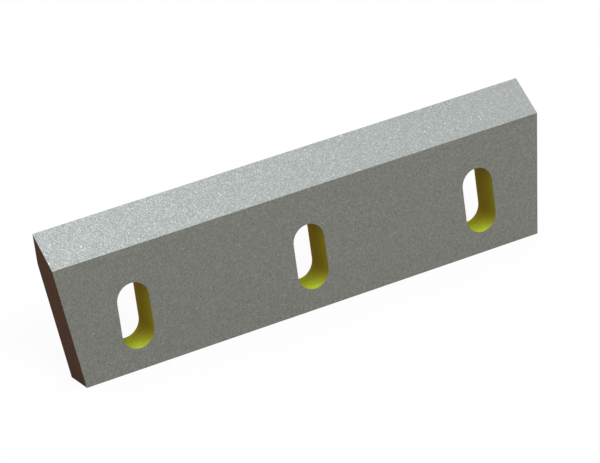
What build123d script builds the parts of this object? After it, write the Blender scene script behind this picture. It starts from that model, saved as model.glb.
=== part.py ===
from build123d import *
import os
from math import radians, tan

# Rotor knife: one ground bar of tool steel, with a cutting edge along its top and three upright bolt slots.
# Millimetres and degrees. +X runs along the knife, the front face looks to -Y and the cutting edge is up.
# The origin is on the seat, the narrow face at the bottom, under the middle slot and midway through the bar.

# Section, the same all the way along
thickness = 22.0
edge_height = 103.0  # from the seat up to the cutting edge
edge_setback = 15.0  # from the front face back to the cutting edge
bevel_angle = 35.0  # between the bevel and the front face
relief_angle = 17.0  # between the relief and the back face

# Ends
seat_length = 330.0  # along the front face, at the seat
end_flare = 7.0  # both ends lean outward on their way up
right_end_lean = 24.0  # the right end leans inward on its way back

# Bolt slots
slot_count = 3
slot_width = 22.0
slot_length = 44.0
slot_pitch = 125.0
slot_height = 36.0  # from the seat up to the middle of a slot

# Deburred edges
edge_break = 0.1

# Places in the section, which follow from the sizes above
front_y = -thickness / 2
back_y = thickness / 2
edge_y = front_y + edge_setback
bevel_z = edge_height - edge_setback / tan(radians(bevel_angle))
relief_z = edge_height - (back_y - edge_y) / tan(radians(relief_angle))

# Planes of the two ends, with their normals looking out of the knife
flare_slope = tan(radians(end_flare))
lean_slope = tan(radians(right_end_lean))
left_end = Plane(origin=(-seat_length / 2, front_y, 0), z_dir=(-1, 0, -flare_slope))
right_end = Plane(origin=(seat_length / 2, front_y, 0), z_dir=(1, lean_slope, -flare_slope))

# The bar starts long enough to reach past both end planes
bar_length = seat_length + 4 * edge_height * flare_slope

with BuildPart() as rotor_knife:
    # Bar with the bevel and the relief meeting in the cutting edge
    with BuildSketch(Plane.YZ):
        with BuildLine():
            Polyline(
                (front_y, 0),
                (front_y, bevel_z),
                (edge_y, edge_height),
                (back_y, relief_z),
                (back_y, 0),
                close=True,
            )
        make_face()
    extrude(amount=bar_length / 2, both=True)

    # Ends: square through the thickness on the left, a compound cut on the right
    split(bisect_by=left_end, keep=Keep.BOTTOM)
    split(bisect_by=right_end, keep=Keep.BOTTOM)

    # Bolt slots through the thickness, their long way upright
    with BuildSketch(Plane.XZ.offset(thickness / 2)):
        with Locations((0, slot_height)):
            with GridLocations(slot_pitch, 0, slot_count, 1):
                SlotOverall(slot_length, slot_width, rotation=90)
    extrude(amount=-thickness, mode=Mode.SUBTRACT)

    # Broken edges round both ends, along the seat and round the slots' mouths
    # The cutting edge and the ridges on either side of it stay sharp
    end_edges = faces().sort_by(Axis.X)[0].edges() + faces().sort_by(Axis.X)[-1].edges()
    seat_edges = edges().filter_by(Axis.X).group_by(Axis.Z)[0]
    front_mouths = faces().sort_by(Axis.Y)[0].inner_wires()
    back_mouths = faces().sort_by(Axis.Y)[-1].inner_wires()
    chamfer(end_edges + seat_edges + (front_mouths + back_mouths).edges(), edge_break)

rotor_knife.part.label = "rotor_knife"

os.makedirs("parts", exist_ok=True)
export_step(rotor_knife.part, "parts/rotor_knife.step")
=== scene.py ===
from math import cos, radians, sin

import bpy
from mathutils import Matrix, Vector

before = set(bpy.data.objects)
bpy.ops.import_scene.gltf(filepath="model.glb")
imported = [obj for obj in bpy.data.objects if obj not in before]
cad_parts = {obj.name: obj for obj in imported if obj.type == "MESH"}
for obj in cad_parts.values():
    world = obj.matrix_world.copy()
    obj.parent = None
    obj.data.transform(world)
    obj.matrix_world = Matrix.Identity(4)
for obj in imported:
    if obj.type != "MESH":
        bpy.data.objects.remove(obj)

# Camera, round the point that it looks at; azimuth 0 looks along +Y
CAMERA_TARGET = Vector((0.0, 0.0, 0.050))
CAMERA_AZIMUTH = -26.0
CAMERA_ELEVATION = 22.0
CAMERA_ROLL = -8.06
CAMERA_DISTANCE = 2.410
CAMERA_LENS = 229.0
SENSOR_WIDTH = 36.0

# Lights
SKY_LIGHT = 0.62
SKY_SEEN = 1.0  # white
KEY_AZIMUTH = 0.0
KEY_ELEVATION = 40.0
KEY_SPREAD = 25.0  # degrees across the lamp, which softens its shadow
KEY_STRENGTH = 1.3

# Floor
FLOOR_SIZE = 40.0
FLOOR_GLOW = 0.90  # share of the floor's look that is plain glow, which softens the shadow
FLOOR_SEEN = 1.015  # strength of that glow, at which the lit floor looks as white as the sky
WHITE = (1.0, 1.0, 1.0, 1.0)

# Steel, in crystals of these sizes
FRONT_CRYSTAL = 0.00088
BEVEL_CRYSTAL = 0.00048
FLECK_ROUGHNESS = 0.6  # of the brightest crystals, as a share of the others' roughness

# Clouds of random grain
CLOUD_ROUGHNESS = 0.6  # how strong the finer grain inside them is
CLOUD_LOW = 0.3  # grain below this counts as none
CLOUD_HIGH = 0.7  # grain above this counts as full

# Painted shade on the two ends, dark brown in clouds of random tone, with a fine ripple
END_CLOUD = 0.0015
END_DETAIL = 4.0
END_RIPPLE = 0.00088
END_DEPTH = 0.00002

# Painted shade in the slots' coat, darkening it from the first of these places along Y back to the second
PAINTED_SHADE_FRONT = -0.009
PAINTED_SHADE_BACK = 0.006
PAINTED_SHADE_UNEVEN = 0.0025  # by how much the painted shade comes sooner or later, in patches
PAINTED_SHADE_PATCH = 0.003
PAINTED_LIGHT_TURN = 3.0  # the higher, the nearer to the bottom of a slot the painted light turns the coat yellow-green
COAT_RIPPLE = 0.0015
COAT_DEPTH = 0.00006

# The knife's surfaces, told apart by where they face, as cosines, and where they are
END_FACING = 0.85
END_BEYOND = 0.15  # the ends lie farther out than this, and the slots don't
WALL_FACING = 0.05  # the walls of the slots look neither to the front nor to the back
SEAT_BELOW = 0.001  # the seat lies below this height
FLAT_FACING = 0.995
BEVEL_ABOVE = 0.079  # the bevel and the relief lie above this height


def srgb(red, green, blue):
    """Linear colour from the 0 to 255 numbers of a picture."""
    def linear(value):
        value /= 255
        return value / 12.92 if value <= 0.04045 else ((value + 0.055) / 1.055) ** 2.4

    return linear(red), linear(green), linear(blue), 1.0


def direction(azimuth, elevation):
    """Unit vector from the knife out to a place seen at these angles."""
    a, e = radians(azimuth), radians(elevation)
    return Vector((sin(a) * cos(e), -cos(a) * cos(e), sin(e)))


def node(tree, kind, inputs=None, **settings):
    """A new shader node with its settings made and its inputs, by name or number, set or linked."""
    made = tree.nodes.new(kind)
    for name, value in settings.items():
        setattr(made, name, value)
    for name, value in (inputs or {}).items():
        if isinstance(value, bpy.types.NodeSocket):
            tree.links.new(value, made.inputs[name])
        else:
            made.inputs[name].default_value = value
    return made


def new_material(name):
    """A material, its node tree and its shader."""
    material = bpy.data.materials.new(name)
    material.use_nodes = True
    return material, material.node_tree, material.node_tree.nodes["Principled BSDF"]


def place(tree):
    """Socket with the place on the knife, in metres."""
    return node(tree, "ShaderNodeTexCoord").outputs["Object"]


def ranged(tree, value, low, high, new_low=0.0, new_high=1.0):
    """Socket with a value stretched from one range to another, and held inside it."""
    stretched = node(
        tree,
        "ShaderNodeMapRange",
        {"Value": value, "From Min": low, "From Max": high, "To Min": new_low, "To Max": new_high},
    )
    return stretched.outputs["Result"]


def mixed(tree, share, first, second):
    """Socket with a colour between two; a mix node has its colours at inputs 6 and 7 and at output 2."""
    return node(tree, "ShaderNodeMix", {0: share, 6: first, 7: second}, data_type="RGBA").outputs[2]


def grain(tree, size, detail=2.0):
    """Socket with fine random grain from 0 to 1 about a half."""
    noise = node(
        tree,
        "ShaderNodeTexNoise",
        {"Vector": place(tree), "Scale": 1 / size, "Detail": detail, "Roughness": CLOUD_ROUGHNESS},
    )
    return noise.outputs["Fac"]


def bumped(tree, height, depth):
    """Socket with the surface's direction, roughened by a height."""
    bump = node(tree, "ShaderNodeBump", {"Height": height, "Distance": depth, "Strength": 1.0})
    return bump.outputs["Normal"]


def crystals(tree, size):
    """Socket with three random numbers from 0 to 1, the same all over one crystal of the steel."""
    cells = node(tree, "ShaderNodeTexVoronoi", {"Vector": place(tree), "Scale": 1 / size, "Randomness": 1.0})
    return cells.outputs["Color"]


def facets(tree, chance, lean):
    """Socket with the surface's direction, each crystal leaning its own way by up to about half of lean."""
    surface = node(tree, "ShaderNodeNewGeometry").outputs["Normal"]
    middle = node(tree, "ShaderNodeVectorMath", {0: chance, 1: (0.5, 0.5, 0.5)}, operation="SUBTRACT")
    tilt = node(tree, "ShaderNodeVectorMath", {0: middle.outputs[0], "Scale": lean}, operation="SCALE")
    sloped = node(tree, "ShaderNodeVectorMath", {0: surface, 1: tilt.outputs[0]}, operation="ADD")
    return node(tree, "ShaderNodeVectorMath", {0: sloped.outputs[0]}, operation="NORMALIZE").outputs[0]


def steel(name, crystal_size, dark, light, fleck, fleck_share, metallic, roughness, lean):
    """Steel in fine crystals of two close greys, a few of them brighter and glossier; the near-white ones
    are painted glints.
    """
    material, tree, shader = new_material(name)
    chance = crystals(tree, crystal_size)
    numbers = node(tree, "ShaderNodeSeparateColor", {"Color": chance})
    body = mixed(tree, numbers.outputs["Green"], dark, light)
    chosen = ranged(tree, numbers.outputs["Blue"], 1 - fleck_share, 1.0)
    tree.links.new(mixed(tree, chosen, body, fleck), shader.inputs["Base Color"])
    rough = ranged(tree, chosen, 0.0, 1.0, roughness, roughness * FLECK_ROUGHNESS)
    tree.links.new(rough, shader.inputs["Roughness"])
    tree.links.new(facets(tree, chance, lean), shader.inputs["Normal"])
    shader.inputs["Metallic"].default_value = metallic
    return material


def steel_painted_shaded():
    """Dull grey steel of the front, the back, the seat and the broken edges, painted darker than the same
    steel on the bevel: painted shade.
    """
    return steel(
        "steel_painted_shaded",
        FRONT_CRYSTAL,
        # painted shade: greys darker than the bevel's, for the same steel in less light
        dark=srgb(102, 103, 96),
        light=srgb(124, 125, 118),
        fleck=srgb(132, 133, 126),
        fleck_share=0.04,
        metallic=0.3,
        roughness=0.6,
        lean=0.04,
    )


def steel_painted_lit():
    """Steel of the bevel and the relief, painted lighter than the same steel on the front as painted light,
    with painted glints.
    """
    return steel(
        "steel_painted_lit",
        BEVEL_CRYSTAL,
        # painted light: greys lighter than the front's, for the same steel where more light falls
        dark=srgb(143, 148, 146),
        light=srgb(161, 166, 164),
        # painted glints: near-white flecks that stand in for sparkle from the lamp
        fleck=srgb(244, 249, 247),
        fleck_share=0.02,
        metallic=0.5,
        roughness=0.36,
        lean=0.165,
    )


def end_painted_shade():
    """Painted shade on the two ends: dark brown, in clouds of random tone."""
    material, tree, shader = new_material("end_painted_shade")
    cloud = ranged(tree, grain(tree, END_CLOUD, END_DETAIL), CLOUD_LOW, CLOUD_HIGH)
    # painted shade: two dark browns that stand in for the shade on the ends
    colour = mixed(tree, cloud, srgb(72, 52, 40), srgb(88, 68, 56))
    tree.links.new(colour, shader.inputs["Base Color"])
    tree.links.new(bumped(tree, grain(tree, END_RIPPLE), END_DEPTH), shader.inputs["Normal"])
    shader.inputs["Roughness"].default_value = 0.8
    shader.inputs["Specular IOR Level"].default_value = 0.0
    return material


def slot_coat_painted_light_and_shade():
    """Yellow coat in the slots, olive on the upright walls; painted light makes it yellow-green on the
    bottom, painted shade makes it browner farther in and darkest under the top."""
    material, tree, shader = new_material("slot_coat_painted_light_and_shade")
    facing = node(tree, "ShaderNodeTexCoord").outputs["Normal"]
    upward = node(tree, "ShaderNodeSeparateXYZ", {"Vector": facing}).outputs["Z"]
    rising = ranged(tree, upward, 0.0, 1.0)
    painted_light_upward = node(tree, "ShaderNodeMath", {0: rising, 1: PAINTED_LIGHT_TURN}, operation="POWER").outputs["Value"]
    # painted light: olive walls turning a brighter yellow-green as they face up
    near = mixed(tree, painted_light_upward, srgb(147, 136, 40), srgb(207, 228, 66))
    far = mixed(tree, painted_light_upward, srgb(139, 116, 36), srgb(154, 157, 42))

    # painted shade: the coat darkens and browns farther into each slot
    depth = node(tree, "ShaderNodeSeparateXYZ", {"Vector": place(tree)}).outputs["Y"]
    patches = ranged(tree, grain(tree, PAINTED_SHADE_PATCH), CLOUD_LOW, CLOUD_HIGH, -PAINTED_SHADE_UNEVEN, PAINTED_SHADE_UNEVEN)
    uneven = node(tree, "ShaderNodeMath", {0: depth, 1: patches}, operation="ADD")
    inside = ranged(tree, uneven.outputs["Value"], PAINTED_SHADE_FRONT, PAINTED_SHADE_BACK)

    # painted shade: darkest brown under the top of each slot, where the coat faces down
    painted_shade_under_top = ranged(tree, upward, 0.0, -1.0)
    colour = mixed(tree, painted_shade_under_top, mixed(tree, inside, near, far), srgb(105, 90, 52))
    tree.links.new(colour, shader.inputs["Base Color"])
    tree.links.new(bumped(tree, grain(tree, COAT_RIPPLE), COAT_DEPTH), shader.inputs["Normal"])
    shader.inputs["Roughness"].default_value = 0.5
    shader.inputs["Specular IOR Level"].default_value = 0.0
    return material


def dress_knife():
    """Gives each surface of the knife its material."""
    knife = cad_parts["rotor_knife"]
    knife.data.materials.clear()
    for material in (steel_painted_shaded(), steel_painted_lit(), end_painted_shade(), slot_coat_painted_light_and_shade()):
        knife.data.materials.append(material)
    flats, bevels, ends, slots = range(4)
    for face in knife.data.polygons:
        n, c = face.normal, face.center
        if abs(n.x) > END_FACING and abs(c.x) > END_BEYOND:
            face.material_index = ends
        elif abs(n.y) < WALL_FACING and c.z > SEAT_BELOW:
            face.material_index = slots
        elif abs(n.y) < FLAT_FACING and c.z > BEVEL_ABOVE:
            face.material_index = bevels
        else:
            face.material_index = flats


def add_camera():
    """The photograph's camera."""
    data = bpy.data.cameras.new("camera")
    data.sensor_width = SENSOR_WIDTH
    data.lens = CAMERA_LENS
    back = direction(CAMERA_AZIMUTH, CAMERA_ELEVATION)
    camera = bpy.data.objects.new("camera", data)
    turn = back.to_track_quat("Z", "Y").to_matrix().to_4x4() @ Matrix.Rotation(radians(CAMERA_ROLL), 4, "Z")
    camera.matrix_world = Matrix.Translation(CAMERA_TARGET + back * CAMERA_DISTANCE) @ turn
    bpy.context.scene.collection.objects.link(camera)
    bpy.context.scene.camera = camera


def add_key_light():
    """One broad soft lamp, high up in front and so far off that it lights the whole knife evenly."""
    data = bpy.data.lights.new("key", "SUN")
    data.angle = radians(KEY_SPREAD)
    data.energy = KEY_STRENGTH
    toward = direction(KEY_AZIMUTH, KEY_ELEVATION)
    lamp = bpy.data.objects.new("key", data)
    turn = toward.to_track_quat("Z", "Y").to_matrix().to_4x4()
    lamp.matrix_world = Matrix.Translation(CAMERA_TARGET + toward) @ turn
    bpy.context.scene.collection.objects.link(lamp)


def seen_white(tree):
    """Socket that is 1 for what the camera sees, straight or in a mirror or through glass."""
    rays = node(tree, "ShaderNodeLightPath").outputs
    white = rays["Is Camera Ray"]
    for kind in ("Is Glossy Ray", "Is Transmission Ray"):
        white = node(tree, "ShaderNodeMath", {0: white, 1: rays[kind]}, operation="MAXIMUM").outputs["Value"]
    return white


def add_sky():
    """Even light from all round, seen as white."""
    world = bpy.data.worlds.new("sky")
    world.use_nodes = True
    tree = world.node_tree
    background = tree.nodes["Background"]
    background.inputs["Color"].default_value = WHITE
    strength = ranged(tree, seen_white(tree), 0.0, 1.0, SKY_LIGHT, SKY_SEEN)
    tree.links.new(strength, background.inputs["Strength"])
    bpy.context.scene.world = world


def add_floor():
    """A white floor that keeps the knife's soft shadow."""
    mesh = bpy.data.meshes.new("floor")
    half = FLOOR_SIZE / 2
    corners = [(-half, -half, 0), (half, -half, 0), (half, half, 0), (-half, half, 0)]
    mesh.from_pydata(corners, [], [(0, 1, 2, 3)])
    floor = bpy.data.objects.new("floor", mesh)
    bpy.context.scene.collection.objects.link(floor)

    material, tree, shader = new_material("floor")
    tree.nodes.remove(shader)
    matt = node(tree, "ShaderNodeBsdfDiffuse", {"Color": WHITE})
    glow = node(tree, "ShaderNodeEmission", {"Color": WHITE, "Strength": FLOOR_SEEN})
    share = ranged(tree, seen_white(tree), 0.0, 1.0, 0.0, FLOOR_GLOW)
    mix = node(tree, "ShaderNodeMixShader", {0: share, 1: matt.outputs["BSDF"], 2: glow.outputs["Emission"]})
    tree.links.new(mix.outputs["Shader"], tree.nodes["Material Output"].inputs["Surface"])
    mesh.materials.append(material)


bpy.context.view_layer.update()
dress_knife()
add_camera()
add_key_light()
add_sky()
add_floor()
bpy.context.scene.view_settings.view_transform = "Standard"
